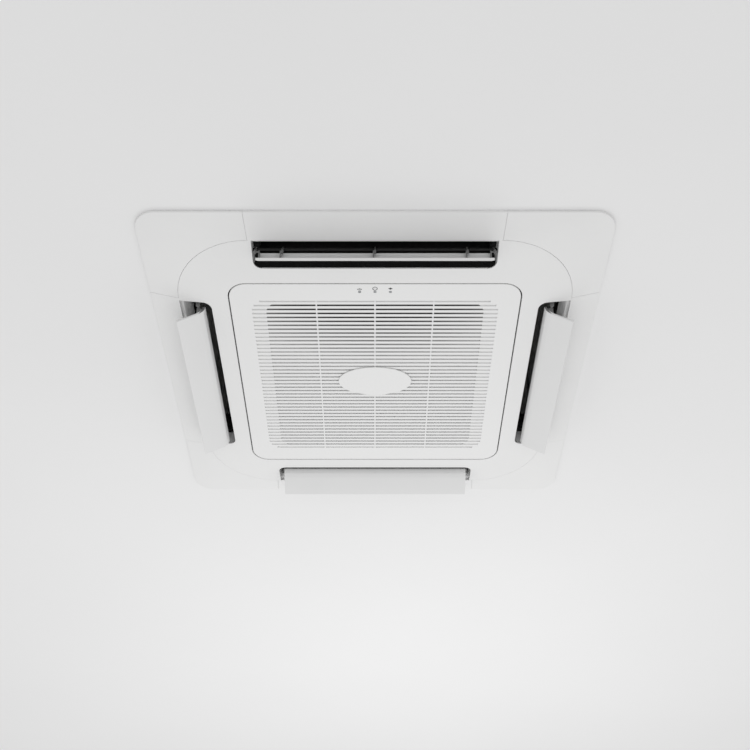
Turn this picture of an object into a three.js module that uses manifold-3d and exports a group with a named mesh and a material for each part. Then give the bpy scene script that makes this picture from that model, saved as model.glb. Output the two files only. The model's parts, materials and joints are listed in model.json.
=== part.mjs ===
// Four-way ceiling cassette air conditioner, in millimetres, +Z up.
// The origin is the centre of the panel on the ceiling's underside: the panel hangs below z = 0 and
// the body stands above it, inside the ceiling. -Y is the side with the indicator lights.
import * as THREE from 'three';
import { mergeVertices } from 'three/addons/utils/BufferGeometryUtils.js';
import Module from 'manifold-3d';

const wasm = await Module();
wasm.setup();

// ---------------------------------------------------------------- driving dimensions
const clearance = 0.4; // between pieces that touch or seat on each other
const boltPlay = 0.5; // round a bolt, pin or spindle in its hole

// decorative panel
const panelSize = 950;
const panelCornerRadius = 43;
const panelLip = 6; // height of the outer edge below the ceiling
const skin = 3; // panel wall
const seamSize = 828; // across the rounded line inside the corner covers
const seamRadius = 160;
const seamDrop = 19;
const coverSplit = 259; // half the width of the bar between two corner covers, at the outer edge
const coverSkin = 2.1;
const coverFloor = 2.4; // panel wall under a corner cover

// outlets
const slotInner = 346; // from the centre to the slot's inner edge
const slotOuter = 407; // to the slot's outer edge
const slotLength = 494;
const slotCornerRadius = 18;
const slotInnerDrop = 27;
const rebateDepth = 6; // step that the closed flap's outer edge lies in
const ductWallInner = 340.5;
const ductWall = 3;
const ductTop = 14;
const ductThroat = 393; // to the outer wall's top, which leans in

// intake grille
const grilleSize = 610;
const grilleCornerRadius = 38;
const grilleGap = 3;
const grilleDrop = 30;
const grilleSkin = 3;
const grilleFlange = 11; // height of the edge wall
const slatAreaSize = 522;
const slatAreaRadius = 33;
const slatCount = 42;
const slatGap = 5;
const slatLean = 30; // degrees that a gap leans from upright
const ribSpacing = 124;
const ribWidth = 3;
const openAreaX = 462; // area where the gaps go right through; round it they are shallow grooves
const openAreaY = 500;
const openAreaRadius = 30;
const grooveDepth = 1.8;
const hingeInset = 8; // hinge axis inside the grille's edge
const hingeRise = 2.4; // and above its face, below the panel's, so the grille's corners open clear of it
const hingeSpacing = 420;
const hingePinRadius = 1.2;
const hingeEarWidth = 6;
const hingeEarWall = 1.4;
const hingePocketFloor = 0.8; // skin left under a hinge lug
const hingePlay = 0.3;

// badge plate, bare
const badgeLength = 168;
const badgeWidth = 97;
const badgeThickness = 2.4;

// indicator lights
const lightSpacing = 32;
const lightFromCentre = 283;
const lightRadius = 3;
const lightInset = 0.3;

// flaps and their swing shafts; "out" runs from the panel's centre across the slot
const flapEndGap = 14; // from each end of a flap to its slot's end
const flapLength = slotLength - 2 * flapEndGap;
const flapFlat = 48;
const flapCurlRadius = 24;
const flapCurl = 65; // degrees
const flapThickness = 5;
const flapTipOut = 415; // outer edge of the open flap at rest
const flapTipDrop = 68.5;
const flapAngle = -28; // degrees, at rest
const nearSwing = 37; // degrees that the near shaft stands further open than the side ones
const farSwing = -12; // and the far shaft
const flapTurnRatio = -1.4936; // the flap's turn on its levers, for each degree of the shaft's
const knuckleIn = 56; // pin from the flap's outer edge, along the flap
const knuckleRise = 18; // and above its face
const shaftOut = 377.8;
const shaftDrop = 3.8;
const shaftRadius = 3;
const armWidth = 9;
const armThickness = 3;
const armSpacing = 186;
const pinRadius = 1.8;
const earThickness = 2.5;
const motorRadius = 14;
const motorLength = 19;

// body above the ceiling
const casingSize = 840;
const casingCornerCut = 150;
const casingWall = 1.5;
const casingBottom = 2.4;
const casingTop = 240;
const linerWall = 14;
const linerRoof = 12;
const panBottom = 16;
const panTop = 62;
const panHoleRadius = 236;
const panOutletInner = 345;
const panOutletOuter = 396;
const panOutletLength = 476;
const troughDepth = 12;
const throatRadius = 186;
const throatTop = 64;
const bellmouthWall = 2.5;
const bellmouthFlange = 250;
const fanRadius = 226;
const fanEyeGap = 4; // running gap round the bellmouth's throat
const fanBladeInner = 128;
const fanBladeCount = 7;
const fanBladeThickness = 3;
const fanBottom = 52;
const fanBackplate = 184;
const bossRadius = 20;
const bossBottom = 150;
const spindleRadius = 6;
const spindleBottom = 138;
const fanMotorRadius = 74;
const fanMotorHeight = 44;
const fanMotorFlange = 95;
const coilSize = 660;
const coilDepth = 42;
const coilRadius = 90;
const coilOpening = 200; // the coil stops this far from the centre at the pipe corner
const endPlateThickness = 1.5;
const pipeRow = -243; // Y where the pipes leave the casing
const pipeStub = 46; // that the pipes stand out of the casing
const pipeReach = casingSize / 2 + pipeStub;
const gasPipeRadius = 7.9;
const gasPipeHeight = 100;
const liquidPipeRadius = 4.8;
const liquidPipeHeight = 140;
const drainHeight = 190;
const drainRadius = 16;
const pumpAt = 285;
const pumpRadius = 34;
const pumpTop = 148;
const floatAt = 242;
const floatRadius = 12;
const floatTravel = 12;
const boxInner = 262; // electrical box, from the centre
const boxOuter = 303;
const boxLength = 300;
const boardMargin = 10; // from the control board's end to the box's
const boardGap = 20; // and from its start to the terminal block
const boardThickness = 1.6;
const capacitorRadius = 7;
const terminalMargin = 20;
const terminalLength = 70;
const terminalPitch = 13;
const boxBottom = -14;
const sheet = 1.2;
const filterSize = 516;
const filterHeight = 4.4;
const netThickness = 0.8;
const hangerPitchX = 780;
const hangerPitchY = 680;
const hangerSheet = 2.5;
const hangerHeight = 84;
const hangerWidth = 44;
const hangerBoltHole = 6;
const earScrewAt = 385; // X and Y of each panel screw
const screwRadius = 2.5;
const screwHeadRadius = 6;
const freshAirRadius = 50;

const rad = THREE.MathUtils.degToRad;

// ---------------------------------------------------------------- shapes to solids and back
function toSolid(geometry) {
  const bare = geometry.clone();
  bare.deleteAttribute('normal');
  bare.deleteAttribute('uv');
  const merged = mergeVertices(bare, 1e-4);
  const mesh = new wasm.Mesh({
    numProp: 3,
    vertProperties: new Float32Array(merged.attributes.position.array),
    triVerts: new Uint32Array(merged.index.array),
  });
  return new wasm.Manifold(mesh);
}

function toGeometry(solid) {
  const mesh = solid.getMesh();
  const geometry = new THREE.BufferGeometry();
  geometry.setAttribute('position', new THREE.BufferAttribute(new Float32Array(mesh.vertProperties), 3));
  geometry.setIndex(new THREE.BufferAttribute(new Uint32Array(mesh.triVerts), 1));
  geometry.computeVertexNormals();
  return geometry;
}

const join = (first, ...rest) => rest.reduce((sum, next) => sum.add(next), first);
const cut = (first, ...rest) => rest.reduce((left, next) => left.subtract(next), first);

// A prism of an outline in X and Y, from z0 to z1.
function plate(shape, z0, z1, curveSegments = 8) {
  const geometry = new THREE.ExtrudeGeometry(shape, { depth: z1 - z0, bevelEnabled: false, curveSegments });
  return toSolid(geometry.translate(0, 0, z0));
}

// A bar along X: its section is an outline in Y and Z.
const alongX = new THREE.Matrix4().makeBasis(
  new THREE.Vector3(0, 1, 0),
  new THREE.Vector3(0, 0, 1),
  new THREE.Vector3(1, 0, 0),
);
function bar(section, x0, x1, curveSegments = 8) {
  const geometry = new THREE.ExtrudeGeometry(section, { depth: x1 - x0, bevelEnabled: false, curveSegments });
  return toSolid(geometry.translate(0, 0, x0).applyMatrix4(alongX));
}

function outline(points) {
  return new THREE.Shape(points.map(([x, y]) => new THREE.Vector2(x, y)));
}

function box(x0, x1, y0, y1, z0, z1) {
  return plate(outline([[x0, y0], [x1, y0], [x1, y1], [x0, y1]]), z0, z1);
}

function roundedRectangle(width, depth, radius) {
  const shape = new THREE.Shape();
  const x = width / 2 - radius;
  const y = depth / 2 - radius;
  shape.absarc(x, y, radius, 0, Math.PI / 2);
  shape.absarc(-x, y, radius, Math.PI / 2, Math.PI);
  shape.absarc(-x, -y, radius, Math.PI, Math.PI * 1.5);
  shape.absarc(x, -y, radius, Math.PI * 1.5, Math.PI * 2);
  shape.closePath();
  return shape;
}

const roundedSquare = (size, radius) => roundedRectangle(size, size, radius);

// A cylinder along X, Y or Z between two stations on that axis.
function rod(axis, radius, from, to, [a, b] = [0, 0], sides = 12) {
  const geometry = new THREE.CylinderGeometry(radius, radius, to - from, sides);
  const middle = (from + to) / 2;
  if (axis === 'x') geometry.rotateZ(-Math.PI / 2).translate(middle, a, b);
  if (axis === 'y') geometry.translate(a, middle, b);
  if (axis === 'z') geometry.rotateX(Math.PI / 2).translate(a, b, middle);
  return toSolid(geometry);
}

// A solid of revolution about Z: points are [radius, z], in a closed loop or from axis to axis.
function turned(points, segments = 32) {
  const profile = points.map(([r, z]) => new THREE.Vector2(r, z));
  return toSolid(new THREE.LatheGeometry(profile, segments).rotateX(Math.PI / 2));
}

// A solid through rounded squares of the same number of points: sections are [half, radius, z].
function lofted(sections, cornerSteps = 5) {
  const ring = ([half, radius, z]) => {
    const centre = half - radius;
    const points = [];
    for (let corner = 0; corner < 4; corner += 1) {
      const start = (corner * Math.PI) / 2;
      const cx = centre * Math.sign(Math.cos(start + Math.PI / 4));
      const cy = centre * Math.sign(Math.sin(start + Math.PI / 4));
      for (let step = 0; step <= cornerSteps; step += 1) {
        const angle = start + (step / cornerSteps) * (Math.PI / 2);
        points.push(cx + radius * Math.cos(angle), cy + radius * Math.sin(angle), z);
      }
    }
    return points;
  };
  const count = 4 * (cornerSteps + 1);
  const positions = sections.flatMap(ring);
  const faces = [];
  for (let level = 0; level + 1 < sections.length; level += 1) {
    for (let i = 0; i < count; i += 1) {
      const j = (i + 1) % count;
      const a = level * count + i;
      const b = level * count + j;
      faces.push(a, b, b + count, a, b + count, a + count);
    }
  }
  const top = (sections.length - 1) * count;
  for (let i = 1; i + 1 < count; i += 1) {
    faces.push(0, i + 1, i);
    faces.push(top, top + i, top + i + 1);
  }
  const geometry = new THREE.BufferGeometry();
  geometry.setAttribute('position', new THREE.Float32BufferAttribute(positions, 3));
  geometry.setIndex(faces);
  return toSolid(geometry);
}

// ---------------------------------------------------------------- finishes
const finish = (color, roughness, metalness = 0) => (
  new THREE.MeshStandardMaterial({ color, roughness, metalness })
);
const whitePlastic = finish(0xe4e4e3, 0.45);
const greyPlastic = finish(0x6d7072, 0.6);
const blackPlastic = finish(0x1d1f20, 0.6);
const lensPlastic = finish(0x40464a, 0.25);
const steel = finish(0xa9adb0, 0.35, 0.9);
const aluminium = finish(0xc4c8ca, 0.4, 0.8);
const copper = finish(0xb87444, 0.35, 0.9);
const brass = finish(0xc8a24a, 0.35, 0.9);
const whiteFoam = finish(0xe8e8e4, 0.9);
const boardGreen = finish(0x2f6b46, 0.5);

const unit = new THREE.Group();

function add(name, solid, material, parent = unit) {
  const mesh = new THREE.Mesh(toGeometry(solid), material);
  mesh.name = name;
  parent.add(mesh);
  return mesh;
}

// The four sides: each is built facing +Y and turned about Z.
const sides = [
  { side: 'near', turn: 180 },
  { side: 'right', turn: -90 },
  { side: 'far', turn: 0 },
  { side: 'left', turn: 90 },
];
const corners = [
  { corner: 'near_right', turn: -90 },
  { corner: 'far_right', turn: 0 },
  { corner: 'far_left', turn: 90 },
  { corner: 'near_left', turn: 180 },
];
const sideGroups = Object.fromEntries(sides.map(({ side, turn }) => {
  const group = new THREE.Group();
  group.rotation.z = rad(turn);
  unit.add(group);
  return [side, group];
}));
const turned4 = (solid) => sides.map(({ turn }) => solid.rotate(0, 0, turn));

// ---------------------------------------------------------------- decorative panel
const openingSize = grilleSize + 2 * grilleGap;
const openingRadius = grilleCornerRadius + grilleGap;
const panelHalf = panelSize / 2;
const seamHalf = seamSize / 2;
const openingHalf = openingSize / 2;
const seamCentre = seamHalf - seamRadius;

// The panel's underside, raised: everything from that surface up to the ceiling.
function panelVolume(raise) {
  const middleRadius = (seamRadius + openingRadius) / 2 - (seamHalf - openingHalf) / 8;
  return lofted([
    [openingHalf, openingRadius, -grilleDrop + raise],
    [slotInner, middleRadius, -slotInnerDrop + raise],
    [seamHalf, seamRadius, -seamDrop + raise],
    [panelHalf - raise, panelCornerRadius - raise, -panelLip + raise],
    [panelHalf - raise, panelCornerRadius - raise, 0],
  ]);
}

// Everything under one corner cover of the +X +Y corner, grown by a margin.
function coverRegion(margin) {
  const far = panelHalf + 5;
  const shape = new THREE.Shape();
  shape.moveTo(coverSplit - margin, far);
  shape.lineTo(seamCentre - margin, seamHalf - margin);
  shape.absarc(seamCentre - margin, seamCentre - margin, seamRadius, Math.PI / 2, 0, true);
  shape.lineTo(far, coverSplit - margin);
  shape.lineTo(far, far);
  shape.closePath();
  return plate(shape, -grilleDrop - 10, 1, 6);
}

const slotHalf = slotLength / 2;
const surfaceSlope = (slotInnerDrop - seamDrop) / (seamHalf - slotInner);
const surfaceAt = (out) => -seamDrop - (seamHalf - out) * surfaceSlope;

function slotHole() {
  const shape = new THREE.Shape();
  const r = slotCornerRadius;
  shape.moveTo(slotHalf, slotOuter);
  shape.lineTo(-slotHalf, slotOuter);
  shape.absarc(-slotHalf + r, slotInner + r, r, Math.PI, Math.PI * 1.5);
  shape.absarc(slotHalf - r, slotInner + r, r, Math.PI * 1.5, Math.PI * 2);
  shape.closePath();
  return plate(shape, -grilleDrop - 10, ductTop + 10, 4);
}

// The step along the slot's outer edge, where the closed flap's outer edge lies.
function slotRebate() {
  const top = -seamDrop + rebateDepth;
  return box(-slotHalf, slotHalf, slotOuter - 4, seamHalf, -grilleDrop - 10, top);
}

// The walls round one outlet, from the skin up.
function outletDuct() {
  const wall = ductWall;
  const ledge = -seamDrop + rebateDepth;
  const outerWall = outline([
    [seamHalf, surfaceAt(seamHalf) + skin / 2],
    [seamHalf, ledge],
    [slotOuter, ledge],
    [slotOuter - wall, ledge + wall],
    [ductThroat + wall, ductTop / 2 - wall / 2],
    [ductThroat, ductTop - wall / 2],
    [ductThroat + wall, ductTop],
    [ductThroat + 2 * wall + 1, ductTop / 2],
    [slotOuter, ledge + wall + 1],
    [seamHalf + wall, ledge + wall],
    [seamHalf + wall, surfaceAt(seamHalf) + skin / 2],
  ]);
  const innerWall = outline([
    [ductWallInner - wall, surfaceAt(ductWallInner) + skin / 2],
    [ductWallInner, surfaceAt(ductWallInner) + skin / 2],
    [ductWallInner, ductTop],
    [ductWallInner - wall, ductTop],
  ]);
  const endWall = outline([
    [ductWallInner - wall, surfaceAt(ductWallInner) + skin / 2],
    [seamHalf + wall, surfaceAt(seamHalf) + skin / 2],
    [seamHalf + wall, ledge + wall],
    [ductThroat + wall, ductTop],
    [ductWallInner - wall, ductTop],
  ]);
  const reach = slotHalf + wall;
  const spindleHoles = rod('x', shaftRadius + boltPlay, -reach - 5, reach + 5, [shaftOut, -shaftDrop], 8);
  return cut(
    join(
      bar(outerWall, -reach, reach),
      bar(innerWall, -reach, reach),
      bar(endWall, -reach, -slotHalf),
      bar(endWall, slotHalf, reach),
    ),
    spindleHoles,
  );
}

const rimTop = -4; // top of the wall round the grille opening
const hingeOut = grilleSize / 2 - hingeInset;
const hingeHeight = -grilleDrop + hingeRise;
const screwSeat = -4; // underside of the panel wall that a corner screw's head presses on
const pocketRadius = screwHeadRadius + 4;

// A lug on the opening's wall that ends in the pin which one of the grille's ears turns on.
function hingeLug(x, pinSide) {
  const start = x + pinSide * (hingeEarWidth / 2 + clearance);
  const end = start + pinSide * hingeEarWidth;
  const earEnd = x - (pinSide * hingeEarWidth) / 2;
  const half = hingePinRadius;
  const shoulder = hingeHeight + hingeInset + 2 * half; // above the sweep of the grille's edge
  const root = openingHalf + skin / 2;
  const section = outline([
    [hingeOut - half, hingeHeight],
    [hingeOut + half, hingeHeight],
    [hingeOut + half, shoulder],
    [root, shoulder + hingeInset / 2],
    [root, shoulder + hingeInset],
    [hingeOut - half, shoulder + 2 * half],
  ]);
  return join(
    bar(section, Math.min(start, end), Math.max(start, end)),
    rod('x', hingePinRadius, Math.min(earEnd, end), Math.max(earEnd, end), [hingeOut, hingeHeight], 12),
  );
}

function panelFrame() {
  const region = coverRegion(0);
  const wideRegion = coverRegion(skin);
  const floorShell = cut(panelVolume(skin - 0.5), panelVolume(skin - 0.5 + coverFloor));
  let frame = cut(panelVolume(0), panelVolume(skin));
  frame = cut(frame, ...turned4(region));
  frame = join(frame, ...turned4(wideRegion.intersect(floorShell)));
  frame = cut(frame, plate(roundedSquare(openingSize, openingRadius), -grilleDrop - 5, 5, 5));
  const rim = cut(
    plate(roundedSquare(openingSize + 2 * skin, openingRadius + skin), -grilleDrop + skin / 2, rimTop, 5),
    plate(roundedSquare(openingSize, openingRadius), -grilleDrop - 5, 5, 5),
  );
  frame = join(frame, rim);
  frame = cut(frame, ...turned4(slotHole()), ...turned4(slotRebate()));
  frame = join(frame, ...turned4(outletDuct()));
  const pocket = rod('z', pocketRadius + 2, screwSeat - 9, screwSeat + 2, [earScrewAt, earScrewAt], 10);
  const hollow = rod('z', pocketRadius, -grilleDrop, screwSeat, [earScrewAt, earScrewAt], 10);
  const bolt = rod('z', screwRadius + boltPlay, screwSeat - 1, screwSeat + 5, [earScrewAt, earScrewAt], 8);
  frame = join(frame, ...turned4(pocket));
  frame = cut(frame, ...turned4(hollow), ...turned4(bolt));
  for (const x of [-hingeSpacing / 2, hingeSpacing / 2]) {
    frame = join(frame, hingeLug(x, Math.sign(x)));
  }
  return frame;
}

add('panel_frame', panelFrame(), whitePlastic);

function cornerCover() {
  const shell = cut(panelVolume(0), panelVolume(coverSkin));
  return coverRegion(-clearance).intersect(shell);
}

for (const { corner, turn } of corners) {
  const cover = add(`corner_cover_${corner}`, cornerCover(), whitePlastic);
  cover.rotation.z = rad(turn);
}

// ---------------------------------------------------------------- intake grille
// Half the length of a gap at one Y, inside the rounded corners of the slat area.
function gapReach(y) {
  const half = slatAreaSize / 2;
  const into = Math.max(0, Math.abs(y) - (half - slatAreaRadius));
  return half - slatAreaRadius + Math.sqrt(slatAreaRadius ** 2 - into ** 2);
}

// The slats and ribs are what the gaps leave of one plate; the gaps lean, so the slats are tilted.
function slatPlate() {
  const pitch = slatAreaSize / (slatCount + 1);
  const bottom = -grilleDrop - 1;
  const top = -grilleDrop + grilleSkin + 1;
  const lean = ((top - bottom) / 2) * Math.tan(rad(slatLean));
  const gaps = [];
  for (let i = 0; i <= slatCount; i += 1) {
    const low = -slatAreaSize / 2 + i * pitch + (pitch - slatGap) / 2;
    const high = low + slatGap;
    const reach = gapReach(Math.max(Math.abs(low), Math.abs(high)));
    const stops = [-reach, -ribSpacing, 0, ribSpacing, reach];
    const section = outline([
      [low - lean, bottom], [high - lean, bottom], [high + lean, top], [low + lean, top],
    ]);
    for (let bay = 0; bay < 4; bay += 1) {
      const start = stops[bay] + (bay > 0 ? ribWidth / 2 : 0);
      gaps.push(bar(section, start, stops[bay + 1] - (bay < 3 ? ribWidth / 2 : 0)));
    }
  }
  const face = roundedSquare(grilleSize, grilleCornerRadius);
  return cut(plate(face, -grilleDrop, -grilleDrop + grilleSkin, 6), join(...gaps));
}

function intakeGrille() {
  const half = grilleSize / 2;
  const slatArea = roundedSquare(slatAreaSize + 4, slatAreaRadius + 2);
  const web = cut(
    plate(slatArea, -grilleDrop + grooveDepth, -grilleDrop + grilleSkin, 4),
    plate(roundedRectangle(openAreaX, openAreaY, openAreaRadius), -grilleDrop, 0, 4),
  );
  let grille = join(slatPlate(), web);
  const flange = cut(
    plate(roundedSquare(grilleSize, grilleCornerRadius), -grilleDrop + 1, -grilleDrop + grilleFlange, 6),
    plate(roundedSquare(grilleSize - 2 * ductWall, grilleCornerRadius - ductWall), -grilleDrop, 0, 6),
  );
  grille = grille.add(flange);
  for (const x of [-hingeSpacing / 2, hingeSpacing / 2]) {
    const pinSide = Math.sign(x);
    const near = x + pinSide * (hingeEarWidth / 2);
    const far = near + pinSide * (hingeEarWidth + 2 * clearance);
    const wall = hingePinRadius + hingePlay + hingeEarWall;
    const notch = box(
      Math.min(near, far), Math.max(near, far),
      hingeOut - wall, half + 1, -grilleDrop + hingePocketFloor, 0,
    );
    const ear = outline([
      [hingeOut - wall, -grilleDrop + grilleSkin / 2],
      [hingeOut + wall, -grilleDrop + grilleSkin / 2],
      [hingeOut + wall, hingeHeight + wall / 2],
      [hingeOut + wall / 2, hingeHeight + wall],
      [hingeOut - wall / 2, hingeHeight + wall],
      [hingeOut - wall, hingeHeight + wall / 2],
    ]);
    const blind = x - pinSide * (hingeEarWidth / 2 + clearance);
    const hole = rod('x', hingePinRadius + hingePlay, Math.min(blind, far), Math.max(blind, far),
      [hingeOut, hingeHeight], 12);
    grille = join(grille.subtract(notch), bar(ear, x - hingeEarWidth / 2, x + hingeEarWidth / 2));
    grille = grille.subtract(hole);
  }
  for (const i of [-1, 0, 1]) {
    const at = [i * lightSpacing, -lightFromCentre];
    grille = grille.subtract(rod('z', lightRadius + clearance, -grilleDrop - 5, 0, at));
  }
  return grille;
}

add('intake_grille', intakeGrille(), whitePlastic);

// ---------------------------------------------------------------- flaps and swing shafts
// A point fixed to the flap, in the flap's own axes: u along the face to the outer edge, v up from it.
function flapPoint(u, v) {
  const c = Math.cos(rad(flapAngle));
  const s = Math.sin(rad(flapAngle));
  return [flapTipOut + u * c - v * s, -flapTipDrop + u * s + v * c];
}

function flapSection() {
  const steps = 4;
  const face = [[0, 0], [-flapFlat, 0]];
  const back = [];
  for (let i = 1; i <= steps; i += 1) {
    const angle = rad((flapCurl * i) / steps);
    face.push([-flapFlat - flapCurlRadius * Math.sin(angle), flapCurlRadius * (1 - Math.cos(angle))]);
  }
  const inner = flapCurlRadius - flapThickness;
  for (let i = steps; i >= 1; i -= 1) {
    const angle = rad((flapCurl * i) / steps);
    back.push([-flapFlat - inner * Math.sin(angle), flapCurlRadius - inner * Math.cos(angle)]);
  }
  back.push([-flapFlat, flapThickness], [-1.5, flapThickness], [0, flapThickness - 1.5]);
  return outline([...face, ...back].map(([u, v]) => flapPoint(u, v)));
}

const armStations = [-armSpacing, 0, armSpacing];
const endCrankAt = (flapLength / 2 + slotLength / 2) / 2; // in the gap between the flap's and the slot's end
const knuckle = flapPoint(-knuckleIn, knuckleRise);

// An ear on the flap's back that carries a pin at the knuckle.
function flapEar(x, width) {
  const foot = 7;
  const section = outline([
    [-knuckleIn - foot, flapThickness - 2],
    [-knuckleIn + foot + 4, flapThickness - 2],
    [-knuckleIn + pinRadius + 2, knuckleRise + 1],
    [-knuckleIn + 1, knuckleRise + pinRadius + 1.5],
    [-knuckleIn - pinRadius - 1, knuckleRise + 1],
  ].map(([u, v]) => flapPoint(u, v)));
  return bar(section, x - width / 2, x + width / 2);
}

function flap() {
  const half = flapLength / 2;
  let solid = bar(flapSection(), -half, half);
  const beside = armThickness / 2 + clearance + earThickness / 2;
  for (const x of armStations) {
    solid = join(
      solid,
      flapEar(x + beside, earThickness),
      rod('x', pinRadius, x - armThickness / 2 - 1, x + beside, knuckle, 6),
    );
  }
  for (const end of [-1, 1]) {
    const tip = end * (endCrankAt + armThickness / 2 + 1);
    const root = end * (half - earThickness);
    solid = join(
      solid,
      flapEar(end * (half - earThickness / 2), earThickness),
      rod('x', pinRadius, Math.min(tip, root), Math.max(tip, root), knuckle, 6),
    );
  }
  return solid;
}

// One lever from the shaft to the knuckle, with the hole for the flap's pin.
function swingArm(x) {
  const [dy, dz] = [knuckle[0] - shaftOut, knuckle[1] + shaftDrop];
  const length = Math.hypot(dy, dz);
  const along = [dy / length, dz / length];
  const across = [-along[1], along[0]];
  const at = (a, c) => [shaftOut + a * along[0] + c * across[0], -shaftDrop + a * along[1] + c * across[1]];
  const w = armWidth / 2;
  const shape = outline([
    at(-w, -w * 0.8), at(length, -w), at(length + w, -w * 0.4),
    at(length + w, w * 0.4), at(length, w), at(-w, w * 0.8),
  ]);
  const hole = rod('x', pinRadius + boltPlay, x - 10, x + 10, knuckle, 6);
  return cut(bar(shape, x - armThickness / 2, x + armThickness / 2), hole);
}

function swingShaft() {
  const reach = slotHalf + ductWall;
  const spindle = rod('x', shaftRadius, -reach - 1, reach + 4, [shaftOut, -shaftDrop], 8);
  return join(spindle, ...[-endCrankAt, ...armStations, endCrankAt].map(swingArm));
}

function flapMotor() {
  const start = slotHalf + ductWall + clearance;
  const centre = [shaftOut, -shaftDrop];
  const can = rod('x', motorRadius, start + 2, start + motorLength, centre, 20);
  const ears = bar(outline([
    [shaftOut - motorRadius - 7, -shaftDrop - 4], [shaftOut + motorRadius + 7, -shaftDrop - 4],
    [shaftOut + motorRadius + 7, -shaftDrop + 4], [shaftOut - motorRadius - 7, -shaftDrop + 4],
  ]), start, start + 2.5);
  const bore = rod('x', shaftRadius + boltPlay, start - 1, start + 5, centre, 12);
  return cut(join(can, ears), bore);
}

// The solid turned by so many degrees about the line along X through [y, z].
const turnedAbout = (solid, degrees, [y, z]) =>
  solid.translate([0, -y, -z]).rotate([degrees, 0, 0]).translate([0, y, z]);

for (const { side } of sides) {
  const swing = { near: nearSwing, far: farSwing }[side] ?? 0;
  const shaftLine = [shaftOut, -shaftDrop];
  const openFlap = turnedAbout(turnedAbout(flap(), swing * flapTurnRatio, knuckle), swing, shaftLine);
  add(`flap_${side}`, openFlap, whitePlastic, sideGroups[side]);
  add(`swing_shaft_${side}`, turnedAbout(swingShaft(), swing, shaftLine), whitePlastic, sideGroups[side]);
  add(`flap_motor_${side}`, flapMotor(), steel, sideGroups[side]);
}

// ---------------------------------------------------------------- on the grille
const badge = new THREE.Shape();
badge.absellipse(0, 0, badgeLength / 2, badgeWidth / 2, 0, Math.PI * 2);
const badgeTop = -grilleDrop - clearance;
add('badge_plate', plate(badge, badgeTop - badgeThickness, badgeTop, 12), whitePlastic);

const filterBottom = -grilleDrop + grilleSkin + clearance;
const filterTop = filterBottom + filterHeight;

function filterFrame() {
  const hole = roundedRectangle(openAreaX, openAreaY, openAreaRadius);
  const opening = plate(hole, filterBottom - 5, filterTop + 5, 5);
  return cut(plate(roundedSquare(filterSize, slatAreaRadius), filterBottom, filterTop, 4), opening);
}

add('filter_frame', filterFrame(), blackPlastic);
const net = roundedRectangle(
  openAreaX - 2 * clearance, openAreaY - 2 * clearance, openAreaRadius - clearance,
);
add('filter_net', plate(net, filterBottom, filterBottom + netThickness, 5), blackPlastic);

// ---------------------------------------------------------------- carried by the panel frame
const rimFace = openingHalf - clearance;
const flangeTop = -grilleDrop + grilleFlange;

function displayModule() {
  const bottom = flangeTop + 2;
  const half = lightSpacing + 22;
  const light = (i) => (
    rod('z', lightRadius, -grilleDrop + lightInset, bottom + 1, [i * lightSpacing, -lightFromCentre], 10)
  );
  return join(
    box(-half, half, -rimFace, -lightFromCentre + 8, bottom, bottom + 10),
    ...[-1, 0, 1].map(light),
  );
}

add('display_module', displayModule(), lensPlastic);

// A spring clip that the edge wall of the closed grille pushes up into.
function grilleClip(x) {
  const top = flangeTop + 9;
  const inner = -(grilleSize / 2 - ductWall - clearance);
  return bar(outline([
    [-rimFace, flangeTop - 3], [-rimFace, top], [inner + 2, top], [inner + 2, flangeTop - 4],
    [inner, flangeTop - 4], [inner, flangeTop + 2],
    [-rimFace + 2, flangeTop + 2], [-rimFace + 2, flangeTop - 3],
  ].reverse()), x - 10, x + 10);
}

add('grille_clip_left', grilleClip(-hingeSpacing / 2), blackPlastic);
add('grille_clip_right', grilleClip(hingeSpacing / 2), blackPlastic);

for (const { corner, turn } of corners) {
  const at = [earScrewAt, earScrewAt];
  const head = rod('z', screwHeadRadius, screwSeat - clearance - 4, screwSeat - clearance, at);
  const shank = rod('z', screwRadius, screwSeat - 1, casingBottom + 8, at, 8);
  const screw = add(`panel_screw_${corner}`, join(head, shank), steel);
  screw.rotation.z = rad(turn);
}

// ---------------------------------------------------------------- body: casing, liner, drain pan
function octagon(half, cornerCut) {
  const side = half - cornerCut;
  return outline([
    [half, -side], [half, side], [side, half], [-side, half],
    [-half, side], [-half, -side], [-side, -half], [side, -half],
  ]);
}

const casingHalf = casingSize / 2;
const shrink = (by) => octagon(casingHalf - by, casingCornerCut - by * (2 - Math.SQRT2));
const cornerFace = (casingSize - casingCornerCut) / Math.SQRT2; // centre to a cut corner's face
const diagonal = (solid) => solid.rotate(0, 0, 45);

function casing() {
  const shell = cut(
    plate(shrink(0), casingBottom, casingTop),
    plate(shrink(casingWall), casingBottom - 5, casingTop - casingWall),
  );
  const screwDiagonal = earScrewAt * Math.SQRT2;
  const ear = cut(
    diagonal(box(cornerFace - 1, screwDiagonal + 15, -30, 30, casingBottom, casingBottom + casingWall)),
    rod('z', screwRadius + boltPlay, 0, 10, [earScrewAt, earScrewAt], 8),
  );
  const passages = [
    rod('x', gasPipeRadius + 3, casingHalf - 10, casingHalf + 10, [pipeRow, gasPipeHeight]),
    rod('x', liquidPipeRadius + 3, casingHalf - 10, casingHalf + 10, [pipeRow, liquidPipeHeight]),
    rod('x', drainRadius + clearance, casingHalf - 10, casingHalf + 10, [pipeRow, drainHeight], 16),
    rod('x', freshAirRadius, -casingHalf - 10, -casingHalf + 10, [0, casingTop / 2], 20),
  ];
  return cut(join(shell, ...turned4(ear)), ...passages);
}

add('casing', casing(), steel);

const inside = casingWall + clearance;

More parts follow.
